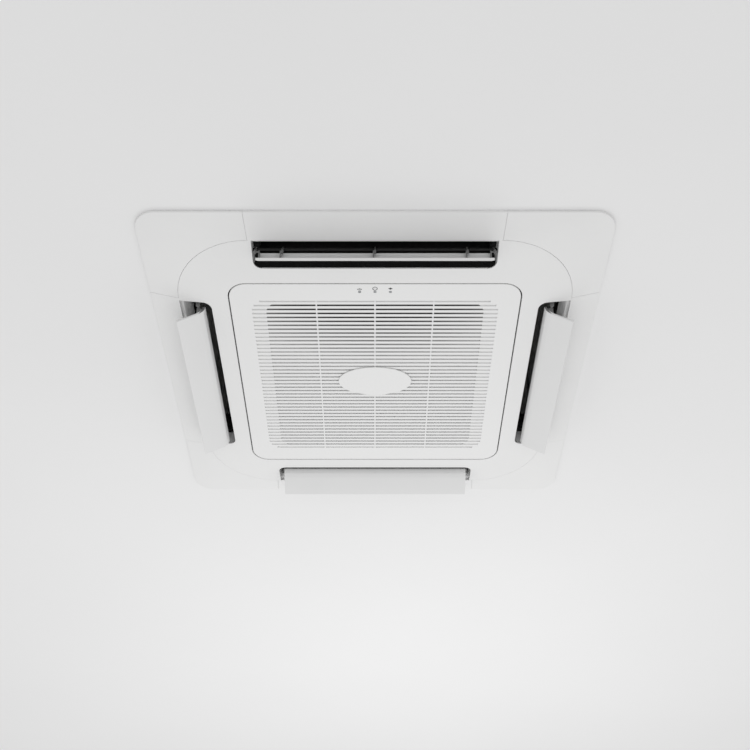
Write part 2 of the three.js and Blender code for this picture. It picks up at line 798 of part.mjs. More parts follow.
function casingLiner() {
  const top = casingTop - casingWall - clearance;
  const bottom = panTop + clearance;
  return cut(
    plate(shrink(inside), bottom, top),
    plate(shrink(inside + linerWall), bottom - 5, top - linerRoof),
    rod('z', fanMotorFlange + 5, casingTop - 40, casingTop, [0, 0], 24),
    rod('x', gasPipeRadius + 3, casingHalf - 40, casingHalf, [pipeRow, gasPipeHeight]),
    rod('x', liquidPipeRadius + 3, casingHalf - 40, casingHalf, [pipeRow, liquidPipeHeight]),
    rod('x', drainRadius + clearance, casingHalf - 40, casingHalf, [pipeRow, drainHeight], 16),
    rod('x', freshAirRadius, -casingHalf, -casingHalf + 40, [0, casingTop / 2], 20),
  );
}

add('casing_liner', casingLiner(), whiteFoam);

function drainPan() {
  const outletHalf = panOutletLength / 2;
  const outlet = box(-outletHalf, outletHalf, panOutletInner, panOutletOuter, panBottom - 5, panTop + 5);
  const trough = cut(
    plate(roundedSquare(coilSize + 4, coilRadius), panTop - troughDepth, panTop + 5, 6),
    plate(roundedSquare(coilSize - 2 * coilDepth - 12, coilRadius - coilDepth), panTop - 40, panTop + 9, 6),
    // two ledges that the coil stands on
    box(-20, 20, -casingHalf, casingHalf, panTop - 40, panTop + 9),
    box(-casingHalf, casingHalf, -20, 20, panTop - 40, panTop + 9),
    // and the pads under the pump and the float switch
    rod('z', pumpRadius + 2, panTop - 40, panTop + 9, [pumpAt, -pumpAt], 12),
    rod('z', floatRadius + 6, panTop - 40, panTop + 9, [floatAt, -floatAt], 8),
  );
  return cut(
    plate(shrink(inside), panBottom, panTop),
    rod('z', panHoleRadius, panBottom - 5, panTop + 5, [0, 0], 32),
    ...turned4(outlet),
    trough,
  );
}

add('drain_pan', drainPan(), whiteFoam);

function bellmouth() {
  const top = panBottom - clearance;
  const wall = bellmouthWall;
  const mouth = panHoleRadius - 4;
  const bend = throatRadius + 11;
  const middle = (mouth + bend) / 2;
  return turned([
    [bellmouthFlange, top - wall], [bellmouthFlange, top], [mouth, top], [middle, top + 5], [bend, top + 17],
    [throatRadius + 2, top + 34], [throatRadius, throatTop], [throatRadius - wall, throatTop],
    [throatRadius - wall + 1.5, top + 32], [bend - wall, top + 14], [middle - 1, top + 2], [mouth, top - wall],
    [bellmouthFlange, top - wall],
  ], 24);
}

add('bellmouth', bellmouth(), greyPlastic);

// ---------------------------------------------------------------- fan
const eye = throatRadius + fanEyeGap;

function fanBlade() {
  const steps = 5;
  const sweep = rad(34);
  const outer = fanRadius - 3;
  const side = (offset) => Array.from({ length: steps + 1 }, (_, i) => {
    const radius = fanBladeInner + ((outer - fanBladeInner) * i) / steps;
    const angle = sweep * (i / steps) ** 0.9 + offset / radius;
    return [radius * Math.cos(angle), radius * Math.sin(angle)];
  });
  const shape = outline([...side(-fanBladeThickness / 2), ...side(fanBladeThickness / 2).reverse()]);
  return plate(shape, fanBottom + 15, fanBackplate + 1);
}

function fanWheel() {
  const rimHeight = fanBottom + 28;
  const shroud = turned([
    [eye, fanBottom], [eye + 2.5, fanBottom], [eye + 8, fanBottom + 12], [fanRadius, rimHeight],
    [fanRadius, rimHeight + 2.5], [eye + 7, fanBottom + 15], [eye, fanBottom + 2], [eye, fanBottom],
  ], 24);
  const backplate = turned([
    [spindleRadius + clearance, bossBottom], [bossRadius, bossBottom], [bossRadius, fanBackplate - 8],
    [3 * bossRadius, fanBackplate], [fanRadius, fanBackplate], [fanRadius, fanBackplate + 3],
    [3 * bossRadius - 2, fanBackplate + 3], [bossRadius - 3, fanBackplate - 4],
    [spindleRadius + clearance, fanBackplate - 4], [spindleRadius + clearance, bossBottom],
  ], 24);
  const below = turned([
    [eye + 7, fanBottom - 20], [fanRadius + 20, fanBottom - 20], [fanRadius + 20, rimHeight],
    [fanRadius, rimHeight + 1], [eye + 7.2, fanBottom + 13.2], [eye + 7, fanBottom - 20],
  ], 24);
  const blades = Array.from({ length: fanBladeCount }, (_, i) => (
    cut(fanBlade().rotate(0, 0, (360 * i) / fanBladeCount), below)
  ));
  return join(backplate, shroud, ...blades);
}

add('fan_wheel', fanWheel(), whitePlastic);

const motorTop = casingTop - casingWall - clearance;
const motorBottom = motorTop - fanMotorHeight;

function fanMotor() {
  const can = join(
    rod('z', fanMotorRadius, motorBottom, motorTop - 1, [0, 0], 28),
    rod('z', fanMotorFlange, motorTop - 3, motorTop, [0, 0], 28),
  );
  return cut(can, rod('z', spindleRadius + boltPlay, motorBottom - 5, motorTop - 10, [0, 0], 12));
}

add('fan_motor', fanMotor(), steel);
add('fan_spindle', rod('z', spindleRadius, spindleBottom, motorTop - 14, [0, 0], 12), steel);
const nut = cut(
  rod('z', 2 * spindleRadius, bossBottom - clearance - 8, bossBottom - clearance, [0, 0], 6),
  rod('z', spindleRadius + clearance, 0, bossBottom, [0, 0], 12),
);
add('fan_nut', nut, steel);

// ---------------------------------------------------------------- heat exchanger and its pipes
const coilBottom = panTop + clearance;
const coilTop = casingTop - casingWall - clearance - linerRoof - clearance;

function heatExchanger() {
  const coilHalf = coilSize / 2;
  return cut(
    plate(roundedSquare(coilSize, coilRadius), coilBottom, coilTop, 6),
    plate(roundedSquare(coilSize - 2 * coilDepth, coilRadius - coilDepth), coilBottom - 5, coilTop + 5, 6),
    box(coilOpening, coilHalf + 9, -coilHalf - 9, -coilOpening, coilBottom - 5, coilTop + 5),
  );
}

add('heat_exchanger', heatExchanger(), aluminium);

const coilInner = coilSize / 2 - coilDepth;
const coilOuter = coilSize / 2;
const plateNear = coilOpening + clearance;
const plateFar = plateNear + endPlateThickness;
add('coil_end_plate_right', box(coilInner, coilOuter, -plateFar, -plateNear, coilBottom, coilTop), steel);
add('coil_end_plate_near', box(plateNear, plateFar, -coilOuter, -coilInner, coilBottom, coilTop), steel);

function pipe(points, radius, steps, bore = 0) {
  const route = points.map(([x, y, z]) => new THREE.Vector3(x, y, z));
  const path = new THREE.CatmullRomCurve3(route, false, 'centripetal');
  const section = (r) => outline(Array.from({ length: 8 }, (_, i) => (
    [r * Math.cos((i * Math.PI) / 4), r * Math.sin((i * Math.PI) / 4)]
  )));
  const tube = (r) => toSolid(new THREE.ExtrudeGeometry(section(r), { steps, extrudePath: path }));
  return bore ? cut(tube(radius), tube(bore)) : tube(radius);
}

function coilPipe(radius, height) {
  const start = -plateFar - clearance;
  const middle = (coilInner + coilOuter) / 2;
  return pipe([
    [middle, start, height], [middle, start - 14, height], [middle + 8, pipeRow + 7, height],
    [middle + 26, pipeRow, height], [casingHalf - 40, pipeRow, height], [pipeReach, pipeRow, height],
  ], radius, 12);
}

add('gas_pipe', coilPipe(gasPipeRadius, gasPipeHeight), copper);
add('liquid_pipe', coilPipe(liquidPipeRadius, liquidPipeHeight), copper);

function flareNut(radius, height) {
  const start = pipeReach - 22;
  return cut(
    rod('x', radius * 1.8, start, pipeReach, [pipeRow, height], 6),
    rod('x', radius + clearance, start - 5, pipeReach + 5, [pipeRow, height], 12),
  );
}

add('gas_flare_nut', flareNut(gasPipeRadius, gasPipeHeight), brass);
add('liquid_flare_nut', flareNut(liquidPipeRadius, liquidPipeHeight), brass);

// ---------------------------------------------------------------- condensate pump, float switch, drain
const floorOfBody = panTop + clearance;

function drainPump() {
  return join(
    rod('z', pumpRadius, floorOfBody, floorOfBody + 26, [pumpAt, -pumpAt], 16),
    rod('z', pumpRadius - 10, floorOfBody + 25, pumpTop, [pumpAt, -pumpAt], 16),
  );
}

add('drain_pump', drainPump(), blackPlastic);
const drainStart = casingHalf - 26;
const hoseRadius = drainRadius - 5;
const hosePoints = [
  [pumpAt, -pumpAt, pumpTop + clearance], [pumpAt, -pumpAt, pumpTop + 16],
  [pumpAt + 12, -pumpAt + 4, drainHeight - 4], [pumpAt + 36, -pumpAt + 20, drainHeight],
  [drainStart - 24, pipeRow, drainHeight],
  [drainStart - clearance, pipeRow, drainHeight],
];
add('drain_hose', pipe(hosePoints, hoseRadius, 14), blackPlastic);
const drainOutlet = cut(
  rod('x', drainRadius, drainStart, pipeReach, [pipeRow, drainHeight], 16),
  rod('x', drainRadius - 3, drainStart + 4, pipeReach + 5, [pipeRow, drainHeight], 16),
);
add('drain_outlet', drainOutlet, greyPlastic);

const floatBase = floorOfBody + 3;
const floatStem = floatRadius / 3;
function floatSwitch() {
  const at = [floatAt, -floatAt];
  const top = floatBase + 16 + floatTravel + 8;
  return join(
    box(floatAt - floatRadius, floatAt + floatRadius, -floatAt - floatRadius, -floatAt + floatRadius,
      floorOfBody, floatBase),
    rod('z', floatStem, floatBase - 1, top, at, 8),
    rod('z', floatStem + 3, top - 1, top + 6, at, 8),
  );
}

add('float_switch', floatSwitch(), greyPlastic);
const float = cut(
  rod('z', floatRadius, floatBase + clearance, floatBase + clearance + 16, [floatAt, -floatAt], 12),
  rod('z', floatStem + boltPlay, floatBase - 5, floatBase + 30, [floatAt, -floatAt], 8),
);
add('float', float, whiteFoam);

// ---------------------------------------------------------------- electrical box
const boxTop = panBottom - clearance;

function electricalBox() {
  const half = boxLength / 2;
  return cut(
    box(boxInner, boxOuter, -half, half, boxBottom, boxTop),
    box(boxInner + sheet, boxOuter - sheet, -half + sheet, half - sheet, boxBottom - 5, boxTop - sheet),
    rod('y', glandRadius + boltPlay, -half - 5, -half + 5, [(boxInner + boxOuter) / 2, 0]),
  );
}

const glandRadius = 8;
add('electrical_box', electricalBox(), steel);
const coverTop = boxBottom - clearance;
const cover = box(boxInner, boxOuter, -boxLength / 2, boxLength / 2, coverTop - sheet, coverTop);
add('electrical_box_cover', cover, steel);

function controlBoard() {
  const top = boxTop - sheet - clearance;
  const end = boxLength / 2 - boardMargin;
  const start = -boxLength / 2 + terminalMargin + terminalLength + boardGap;
  const board = box(boxInner + 4, boxOuter - 4, start, end, top - 3 - boardThickness, top - 3);
  const feet = [start + 10, end - 10].map((y) => (
    box(boxInner + 8, boxInner + 12, y - 2, y + 2, top - 3.5, top)
  ));
  const parts = [
    rod('z', capacitorRadius, top - 20, top - 4, [boxInner + 14, end - 30], 12),
    rod('z', capacitorRadius, top - 20, top - 4, [boxInner + 14, end - 50], 12),
    box(boxInner + 8, boxInner + 26, end - 110, end - 80, top - 14, top - 4),
    box(boxInner + 8, boxInner + 20, start + 20, start + 50, top - 12, top - 4),
  ];
  return join(board, ...feet, ...parts);
}

add('control_board', controlBoard(), boardGreen);
const terminalTop = boxTop - sheet - clearance;
const terminalStart = -boxLength / 2 + terminalMargin;
const terminalEnd = terminalStart + terminalLength;
const terminals = cut(
  box(boxInner + 8, boxOuter - 8, terminalStart, terminalEnd, terminalTop - 12, terminalTop),
  ...[0, 1, 2, 3, 4].map((i) => terminalStart + 4 + terminalPitch * i).map((y) => (
    box(boxInner + 5, boxOuter - 14, y, y + 8, terminalTop - 15, terminalTop - 7)
  )),
);
add('terminal_block', terminals, blackPlastic);
const glandAt = [(boxInner + boxOuter) / 2, 0];
const gland = cut(
  join(
    rod('y', glandRadius, -boxLength / 2 - 14, -boxLength / 2 + 8, glandAt),
    rod('y', glandRadius + 3, -boxLength / 2 - 8, -boxLength / 2 - clearance, glandAt, 6),
  ),
  rod('y', glandRadius - 3, -boxLength, 0, glandAt),
);
add('cable_gland', gland, blackPlastic);

// ---------------------------------------------------------------- hanging brackets and fresh-air cover
// Each bracket stands on a cut corner; its hole is at the hanging bolt's place.
function hangingBracket(mirror) {
  const out = (hangerPitchX + hangerPitchY) / 2 / Math.SQRT2;
  const along = (mirror * (hangerPitchY - hangerPitchX)) / 2 / Math.SQRT2;
  const face = cornerFace + clearance;
  const half = hangerWidth / 2;
  const solid = join(
    box(face, face + hangerSheet, along - half, along + half, hangerHeight, hangerHeight + 40),
    box(face, out + 20, along - half, along + half, hangerHeight, hangerHeight + hangerSheet),
  );
  return diagonal(cut(solid, rod('z', hangerBoltHole, 0, casingTop, [out, along], 12)));
}

corners.forEach(({ corner, turn }, i) => {
  const bracket = add(`hanging_bracket_${corner}`, hangingBracket(i % 2 ? 1 : -1), steel);
  bracket.rotation.z = rad(turn);
});

const freshAirSeat = -casingHalf - clearance;
const freshAirAt = [0, casingTop / 2];
const freshAirCover = rod('x', freshAirRadius + 8, freshAirSeat - casingWall, freshAirSeat, freshAirAt, 20);
add('fresh_air_cover', freshAirCover, steel);

export default unit;
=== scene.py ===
import json
import math

import bmesh
import bpy
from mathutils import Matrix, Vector

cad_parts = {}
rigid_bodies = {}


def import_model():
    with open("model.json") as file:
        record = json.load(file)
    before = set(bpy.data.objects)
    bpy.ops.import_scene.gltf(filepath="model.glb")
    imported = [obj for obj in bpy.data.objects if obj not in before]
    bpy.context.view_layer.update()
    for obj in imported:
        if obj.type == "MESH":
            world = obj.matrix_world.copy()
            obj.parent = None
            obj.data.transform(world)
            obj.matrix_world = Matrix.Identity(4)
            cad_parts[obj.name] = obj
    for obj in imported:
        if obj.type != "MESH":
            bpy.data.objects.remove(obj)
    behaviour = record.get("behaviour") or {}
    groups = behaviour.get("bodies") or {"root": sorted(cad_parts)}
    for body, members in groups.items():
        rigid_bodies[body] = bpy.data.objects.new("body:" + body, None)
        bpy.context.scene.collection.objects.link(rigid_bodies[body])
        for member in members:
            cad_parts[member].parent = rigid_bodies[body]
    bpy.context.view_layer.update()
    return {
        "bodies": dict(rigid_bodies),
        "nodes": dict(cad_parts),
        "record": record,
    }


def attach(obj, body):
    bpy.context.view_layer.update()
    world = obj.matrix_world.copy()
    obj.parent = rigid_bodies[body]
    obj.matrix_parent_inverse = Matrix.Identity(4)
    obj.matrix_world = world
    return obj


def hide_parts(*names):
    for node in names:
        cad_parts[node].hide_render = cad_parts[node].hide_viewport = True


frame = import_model()
scene = bpy.context.scene

MM = 0.001


def colour(r, g=None, b=None):
    """Linear RGBA; one number gives a grey."""
    return (r, r if g is None else g, r if b is None else b, 1.0)


# ---------------------------------------------------------------- materials

WHOLE = (0.0, 1.0)
NOISE = (0.3, 0.7)  # where most of a noise texture's values lie


class Nodes:
    """A material's node tree, with short calls to add nodes and link them."""

    def __init__(self, name):
        self.material = bpy.data.materials.new(name)
        self.material.use_nodes = True
        self.tree = self.material.node_tree
        self.shader = self.tree.nodes["Principled BSDF"]
        self.place = self.add("ShaderNodeTexCoord").outputs["Object"]

    def add(self, kind, inputs=None, **attributes):
        """A new node. Of its inputs, by name or number, outputs are linked and values are set."""
        node = self.tree.nodes.new(kind)
        for key, value in attributes.items():
            setattr(node, key, value)
        for key, value in (inputs or {}).items():
            if isinstance(value, bpy.types.NodeSocket):
                self.tree.links.new(value, node.inputs[key])
            else:
                node.inputs[key].default_value = value
        return node

    def noise(self, scale, detail=2.0, roughness=0.5, stretch=None):
        place = self.place
        if stretch is not None:
            mapping = self.add("ShaderNodeMapping", {"Scale": stretch, "Vector": place})
            place = mapping.outputs["Vector"]
        values = {"Scale": scale, "Detail": detail, "Roughness": roughness, "Vector": place}
        return self.add("ShaderNodeTexNoise", values).outputs["Fac"]

    def cells(self, scale, feature="F1", output="Distance"):
        node = self.add("ShaderNodeTexVoronoi", {"Scale": scale, "Vector": self.place},
                        feature=feature)
        return node.outputs[output]

    def wave(self, scale, axis, distortion=0.0):
        values = {"Scale": scale, "Distortion": distortion, "Vector": self.place}
        node = self.add("ShaderNodeTexWave", values, wave_type="BANDS", bands_direction=axis)
        return node.outputs["Fac"]

    def distance(self, point):
        node = self.add("ShaderNodeVectorMath", {0: self.place, 1: point}, operation="DISTANCE")
        return node.outputs["Value"]

    def maths(self, operation, a, b):
        return self.add("ShaderNodeMath", {0: a, 1: b}, operation=operation).outputs["Value"]

    def share(self, a, b, part):
        """This part of a, with the rest taken from b."""
        return self.maths("ADD", self.maths("MULTIPLY", a, part),
                          self.maths("MULTIPLY", b, 1 - part))

    def spread(self, value, to=WHOLE, within=NOISE):
        """The value, scaled so that its range within becomes the range to."""
        values = {"From Min": within[0], "From Max": within[1],
                  "To Min": to[0], "To Max": to[1], "Value": value}
        return self.add("ShaderNodeMapRange", values).outputs["Result"]

    def mix(self, factor, a, b, **attributes):
        values = {"Factor": factor, "A": a, "B": b}
        node = self.add("ShaderNodeMix", values, data_type="RGBA", **attributes)
        return node.outputs["Result"]

    def base(self, output):
        self.tree.links.new(output, self.shader.inputs["Base Color"])

    def paint(self, output, first, last, within=NOISE):
        """Base colour, from first to last as the output runs through its range."""
        self.base(self.mix(self.spread(output, within=within), first, last))

    def gloss(self, output, low, high, within=NOISE):
        """Roughness, from low to high as the output runs through its range."""
        result = self.spread(output, (low, high), within)
        self.tree.links.new(result, self.shader.inputs["Roughness"])

    def metallic(self, amount):
        self.shader.inputs["Metallic"].default_value = amount

    def relief(self, *layers):
        """Bump from (height output, depth in mm, strength) layers, one on another."""
        last = None
        for height, depth, strength in layers:
            values = {"Strength": strength, "Distance": depth * MM, "Height": height}
            if last is not None:
                values["Normal"] = last
            last = self.add("ShaderNodeBump", values).outputs["Normal"]
        self.tree.links.new(last, self.shader.inputs["Normal"])


GRAIN_SCALE = 1400.0
GRAIN_STRENGTH = 0.35


def moulded(name, light, dark, roughness, grain_depth=0.02, flow=7.0):
    """Moulded plastic: fine spark-eroded grain, and slow flow marks in its colour and gloss."""
    n = Nodes(name)
    slow = n.noise(flow, 4.0, 0.6)
    grain = n.noise(GRAIN_SCALE, 2.0, 0.6)
    n.paint(slow, dark, light)
    n.gloss(n.share(slow, grain, 0.6), roughness - 0.05, roughness + 0.06)
    n.relief((n.noise(flow * 3.0), 0.15, 0.12), (grain, grain_depth, GRAIN_STRENGTH))
    return n.material


def galvanised_sheet():
    """Zinc spangle: flakes that differ in colour and gloss, on a slightly uneven sheet."""
    n = Nodes("galvanised_sheet")
    spangle = n.cells(90.0, output="Color")
    flake = n.add("ShaderNodeSeparateColor", {"Color": spangle}).outputs["Red"]
    n.paint(flake, colour(0.50, 0.52, 0.535), colour(0.66, 0.68, 0.69), WHOLE)
    n.gloss(n.maths("ADD", flake, n.noise(5.0, 4.0)), 0.34, 0.56, (0.4, 1.6))
    n.relief((n.noise(4.0), 0.5, 0.25), (flake, 0.01, 0.15), (n.noise(900.0), 0.01, 0.3))
    n.metallic(0.85)
    return n.material


def metal(name, light, dark, roughness, stretch=(40.0, 40.0, 900.0)):
    """Drawn or turned metal: fine lines across the axis of the largest stretch, and tarnish."""
    n = Nodes(name)
    tarnish = n.noise(24.0, 5.0, 0.65)
    lines = n.noise(1.0, 3.0, 0.6, stretch)
    n.paint(tarnish, dark, light)
    n.gloss(n.share(tarnish, lines, 0.5), roughness - 0.08, roughness + 0.12)
    n.relief((lines, 0.02, 0.4), (tarnish, 0.05, 0.2))
    n.metallic(1.0)
    return n.material


def finned_coil():
    """Pressed aluminium fins a couple of millimetres apart; the dark between them is painted
    shade.
    """
    n = Nodes("finned_coil")
    fins = n.maths("ADD", n.wave(155.0, "X", 0.3), n.wave(155.0, "Y", 0.3))
    n.paint(fins, colour(0.20, 0.205, 0.21), colour(0.74, 0.76, 0.78), (0.5, 1.6))
    n.gloss(n.noise(60.0, 4.0), 0.28, 0.48)
    n.relief((fins, 0.8, 0.8), (n.noise(30.0), 0.4, 0.3))
    n.metallic(0.9)
    return n.material


def bead_foam(name, middle, joint):
    """Moulded bead foam: the beads' middles and the joints between them."""
    n = Nodes(name)
    beads = n.cells(260.0)
    n.paint(beads, middle, joint, (0.0, 0.75))
    n.gloss(n.noise(200.0), 0.72, 0.88)
    n.relief((n.maths("SUBTRACT", 1.0, beads), 0.5, 0.55), (n.noise(12.0), 0.6, 0.2))
    return n.material


# Painted shade: the net's colour is darkest at this point and lightens over this span of
# distance.
NET_SHADE_CENTRE = (0.0, -0.55, -0.026)  # the net's colour runs with the distance from here
NET_SHADE_FADE = (0.355, 0.485)


def woven_net(name, near, far):
    """Fine woven net; its colour runs from near, behind the first rows of slats, to far, as
    painted shade.
    """
    n = Nodes(name)
    weave = n.maths("MAXIMUM", n.wave(150.0, "X"), n.wave(150.0, "Y"))
    # The threads' colour carries painted shade, darkest near the given point.
    threads_with_painted_shade = n.mix(n.spread(n.distance(NET_SHADE_CENTRE), within=NET_SHADE_FADE), near, far)
    holes = n.spread(weave, (0.86, 1.0), (0.5, 1.0))
    n.base(n.mix(1.0, threads_with_painted_shade, holes, blend_type="MULTIPLY"))
    n.gloss(n.noise(40.0, 3.0), 0.5, 0.72)
    n.relief((weave, 0.2, 0.4), (n.noise(9.0, 3.0), 0.8, 0.25))
    return n.material


def hose_rubber():
    """Black ribbed rubber with some dust."""
    n = Nodes("hose_rubber")
    dust = n.noise(30.0, 5.0, 0.65)
    n.paint(dust, colour(0.02), colour(0.045))
    n.gloss(dust, 0.55, 0.78)
    n.relief((n.wave(70.0, "X"), 0.6, 0.5), (n.noise(700.0), 0.03, 0.4))
    return n.material


def lacquered_board():
    """Green lacquer over a circuit board's tracks."""
    n = Nodes("lacquered_board")
    tracks = n.cells(180.0, feature="DISTANCE_TO_EDGE")
    n.paint(tracks, colour(0.05, 0.16, 0.09), colour(0.02, 0.09, 0.045), (0.03, 0.06))
    n.gloss(n.noise(50.0, 3.0), 0.25, 0.42)
    n.relief((tracks, 0.05, 0.4))
    return n.material


def smoked_lens():
    """The grey, rather glossy lenses of the lights."""
    n = Nodes("smoked_lens")
    n.paint(n.noise(60.0, 3.0), colour(0.20, 0.21, 0.22), colour(0.26, 0.27, 0.28))
    n.gloss(n.noise(90.0, 4.0), 0.12, 0.24)
    n.relief((n.noise(1200.0), 0.01, 0.2))
    return n.material


PANEL = moulded("panel_plastic", colour(0.770, 0.770, 0.767), colour(0.755, 0.755, 0.753), 0.42)
FLAP = moulded("flap_plastic", colour(0.715, 0.716, 0.714), colour(0.700, 0.701, 0.700), 0.38,
               grain_depth=0.012)
# Dark grey painted shade for the levers and the flaps' ears inside the outlets.
ARM_PAINTED_SHADE = moulded("arm_plastic", colour(0.17), colour(0.14), 0.45)
FAN = moulded("fan_plastic", colour(0.60, 0.60, 0.585), colour(0.55, 0.55, 0.535), 0.5, flow=12.0)
BELLMOUTH = moulded("bellmouth_plastic", colour(0.075, 0.078, 0.082), colour(0.06, 0.063, 0.067),
                    0.5)
GREY = moulded("grey_plastic", colour(0.16, 0.17, 0.175), colour(0.14, 0.15, 0.155), 0.48)
BLACK = moulded("black_plastic", colour(0.016), colour(0.012), 0.5)
# Near-black bead foam, used as painted shade inside the outlets, on the drain pan and on the
# spindles.
DUCT_PAINTED_SHADE = bead_foam("duct_foam", colour(0.010), colour(0.006))
FOAM = bead_foam("white_foam", colour(0.80, 0.80, 0.78), colour(0.66, 0.66, 0.64))
NET = woven_net("filter_net", colour(0.10), colour(0.13))
# The net's underside: painted shade, near black behind the first rows of slats and light further
# off.
NET_PAINTED_SHADE = woven_net("filter_net_under", colour(0.004), colour(0.80))
LENS = smoked_lens()
HOSE = hose_rubber()
SHEET = galvanised_sheet()
STEEL = metal("plated_steel", colour(0.60, 0.61, 0.62), colour(0.50, 0.51, 0.52), 0.32)
COIL = finned_coil()
COPPER = metal("copper_tube", colour(0.72, 0.36, 0.20), colour(0.50, 0.22, 0.12), 0.30,
               stretch=(900.0, 60.0, 60.0))
BRASS = metal("machined_brass", colour(0.70, 0.50, 0.22), colour(0.56, 0.38, 0.15), 0.26)
BOARD = lacquered_board()
ICON = moulded("icon_ink", colour(0.070, 0.073, 0.077), colour(0.055, 0.058, 0.062), 0.35)

FINISH = {
    "panel_white": PANEL, "flap_white": FLAP, "fan_plastic": FAN, "bellmouth_plastic": BELLMOUTH,
    "grey_plastic": GREY, "black_plastic": BLACK, "filter_mesh": NET, "light_module": LENS,
    "hose_rubber": HOSE, "foam": FOAM, "galvanised": SHEET, "motor_steel": STEEL,
    "coil_aluminium": COIL, "copper": COPPER, "brass": BRASS, "circuit_board": BOARD,
}

# ---------------------------------------------------------------- objects

SMOOTH_ANGLE = math.radians(32.0)


def new_object(name, bm, *materials):
    mesh = bpy.data.meshes.new(name)
    bm.to_mesh(mesh)
    bm.free()
    for material in materials:
        mesh.materials.append(material)
    obj = bpy.data.objects.new(name, mesh)
    scene.collection.objects.link(obj)
    return obj


def shade_smooth(mesh):
    """Smooth shading, broken at the sharp edges."""
    for polygon in mesh.polygons:
        polygon.use_smooth = True
    mesh.set_sharp_from_angle(angle=SMOOTH_ANGLE)


# ---------------------------------------------------------------- the CAD nodes, dressed

WELD = 0.002 * MM
EASE_SEGMENTS = 2

slot_of = {entry["node"]: entry["material_slot"] for entry in frame["record"]["subparts"]}
body_of = {node: body.name.split(":", 1)[1]
           for body in frame["bodies"].values() for node in (c.name for c in body.children)}


def dressed(node, ease, second):
    """A copy of a CAD node's form, which stands for it, with its curves shaded smooth.

    ease is how far its edges are eased, in mm. second is None, or a test for faces and the
    finish that those faces take.
    """
    bm = bmesh.new()
    bm.from_mesh(frame["nodes"][node].data)
    bmesh.ops.remove_doubles(bm, verts=bm.verts, dist=WELD)
    # The swing shafts take the dark grey of painted shade.
    finishes = [ARM_PAINTED_SHADE if node.startswith("swing_shaft") else FINISH[slot_of[node]]]
    if second:
        takes_second, finish = second
        finishes.append(finish)
        for face in bm.faces:
            face.material_index = 1 if takes_second(face) else 0
    piece = new_object("dressed_" + node, bm, *finishes)
    mesh = piece.data
    if "custom_normal" in mesh.attributes:
        mesh.attributes.remove(mesh.attributes["custom_normal"])
    if ease:
        bevel = piece.modifiers.new("eased_edges", "BEVEL")
        bevel.width = ease * MM
        bevel.segments = EASE_SEGMENTS
        bevel.limit_method = "ANGLE"
        bevel.angle_limit = SMOOTH_ANGLE
        bevel.miter_outer = "MITER_ARC"
        bevel.use_clamp_overlap = True
        bevel.harden_normals = False
    shade_smooth(mesh)
    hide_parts(node)
    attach(piece, body_of[node])


SIDES = {"near": (0.0, -1.0), "right": (1.0, 0.0), "far": (0.0, 1.0), "left": (-1.0, 0.0)}


def outward(point):
    """Distance from the centre towards the nearest side, and the vector towards that side."""
    return max((point.x * x + point.y * y, (x, y)) for x, y in SIDES.values())


DUCT_INNER = 340 * MM
DUCT_OUTER = 408 * MM
DUCT_HALF = 252 * MM
DUCT_LOW = -25 * MM
DUCT_TOP = 10 * MM


def in_duct(face):
    """The inner wall and top of an outlet, painted black as painted shade; its outer wall and
    ends stay white.
    """
    centre = face.calc_center_median()
    out, (x, y) = outward(centre)
    along = abs(centre.x * y - centre.y * x)
    if not (DUCT_INNER < out < DUCT_OUTER and along < DUCT_HALF and centre.z > DUCT_LOW):
        return False
    return face.normal.x * x + face.normal.y * y > 0.5 or centre.z > DUCT_TOP


PAN_OUT = 330 * MM


def in_pan_duct(face):
    """The drain pan's walls in the outlets, and its underside, painted black as painted shade."""
    out, _ = outward(face.calc_center_median())
    wall = out > PAN_OUT and abs(face.normal.z) < 0.99
    return wall or face.normal.z < -0.9


def facing_down(face):
    return face.normal.z < -0.5


SPINDLE_OUT = 377.8 * MM
SPINDLE_Z = -3.8 * MM
SPINDLE_REACH = 3.2 * MM


def on_spindle(face):
    """The round spindle between the levers, painted black as painted shade of the duct."""
    centre = face.calc_center_median()
    out, _ = outward(centre)
    return math.hypot(out - SPINDLE_OUT, centre.z - SPINDLE_Z) < SPINDLE_REACH


KNUCKLE_REACH = 13.5 * MM
EAR_WIDTH = 12 * MM
knuckles = [Vector(joint["pos_m"]) for joint in frame["record"]["behaviour"]["joints"]
            if joint["name"].startswith("flap_turn")]


def on_knuckle(face):
    """The ears that carry a flap on its levers, painted dark grey as painted shade; wider faces
    belong to the flap itself.
    """
    centre = face.calc_center_median()
    out, (x, y) = outward(centre)
    along = [v.co.x * y - v.co.y * x for v in face.verts]
    if max(along) - min(along) > EAR_WIDTH:
        return False
    return any(math.hypot(out - outward(pin)[0], centre.z - pin.z) < KNUCKLE_REACH
               for pin in knuckles if outward(pin)[1] == (x, y))


def ease_of(node):
    """How far a node's edges are eased, in mm."""
    if node == "badge_plate" or node.startswith("corner_cover"):
        return 0.8
    if node.startswith("flap_") and "motor" not in node:
        return 1.0
    return 0.0


# Second finishes: the black and the dark grey ones, and the net's underside, are painted shade.
SECOND = {
    "panel_frame": (in_duct, DUCT_PAINTED_SHADE),
    "drain_pan": (in_pan_duct, DUCT_PAINTED_SHADE),
    "filter_net": (facing_down, NET_PAINTED_SHADE),
}
for side in SIDES:
    SECOND["swing_shaft_" + side] = (on_spindle, DUCT_PAINTED_SHADE)
    SECOND["flap_" + side] = (on_knuckle, ARM_PAINTED_SHADE)

for node in sorted(frame["nodes"]):
    dressed(node, ease_of(node), SECOND.get(node))

# ---------------------------------------------------------------- marks beside the lights

FACE = -30 * MM  # the grille's face
MARK_RELIEF = 0.12 * MM
MARK_PITCH = 32
MARK_ROW = -292.5
MARK_LINE = 1.6
ARC_STEPS = 20


